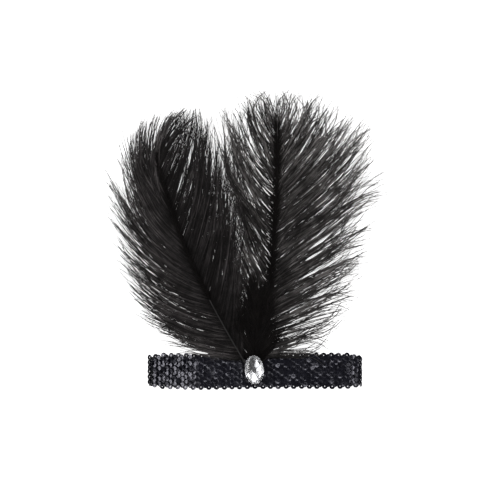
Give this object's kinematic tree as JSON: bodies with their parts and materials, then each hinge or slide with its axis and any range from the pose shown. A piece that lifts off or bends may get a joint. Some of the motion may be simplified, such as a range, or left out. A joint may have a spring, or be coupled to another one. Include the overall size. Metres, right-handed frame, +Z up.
{
  "type": "flapper feather headband",
  "caption": "Stretch sequin headband folded flat, with a faceted oval stone and ostrich plumes that fan up from behind it; worn round the head as a flapper costume.",
  "frame": {"origin": "under the middle of the folded band, on the surface that it lies on", "axes": "+X along the folded band, +Y from the band towards the plume tips, +Z up from the surface, out of the stone's face"},
  "size_m": [0.2978, 0.3106, 0.0336],
  "materials": {
    "elastic": "woven stretch elastic, matt",
    "sequins": "black cup sequins, glossy",
    "pad": "felt, matt",
    "stone": "clear, faceted, silvered behind",
    "feather": "dyed ostrich plume, soft, with loose barbs"
  },
  "bodies": {
    "root": {"elastic_band": "elastic", "sequin_trim": "sequins", "stem_pad": "pad", "stone": "stone", "plume_left": "feather", "plume_right": "feather", "plume_front": "feather"}
  },
  "joints": []
}
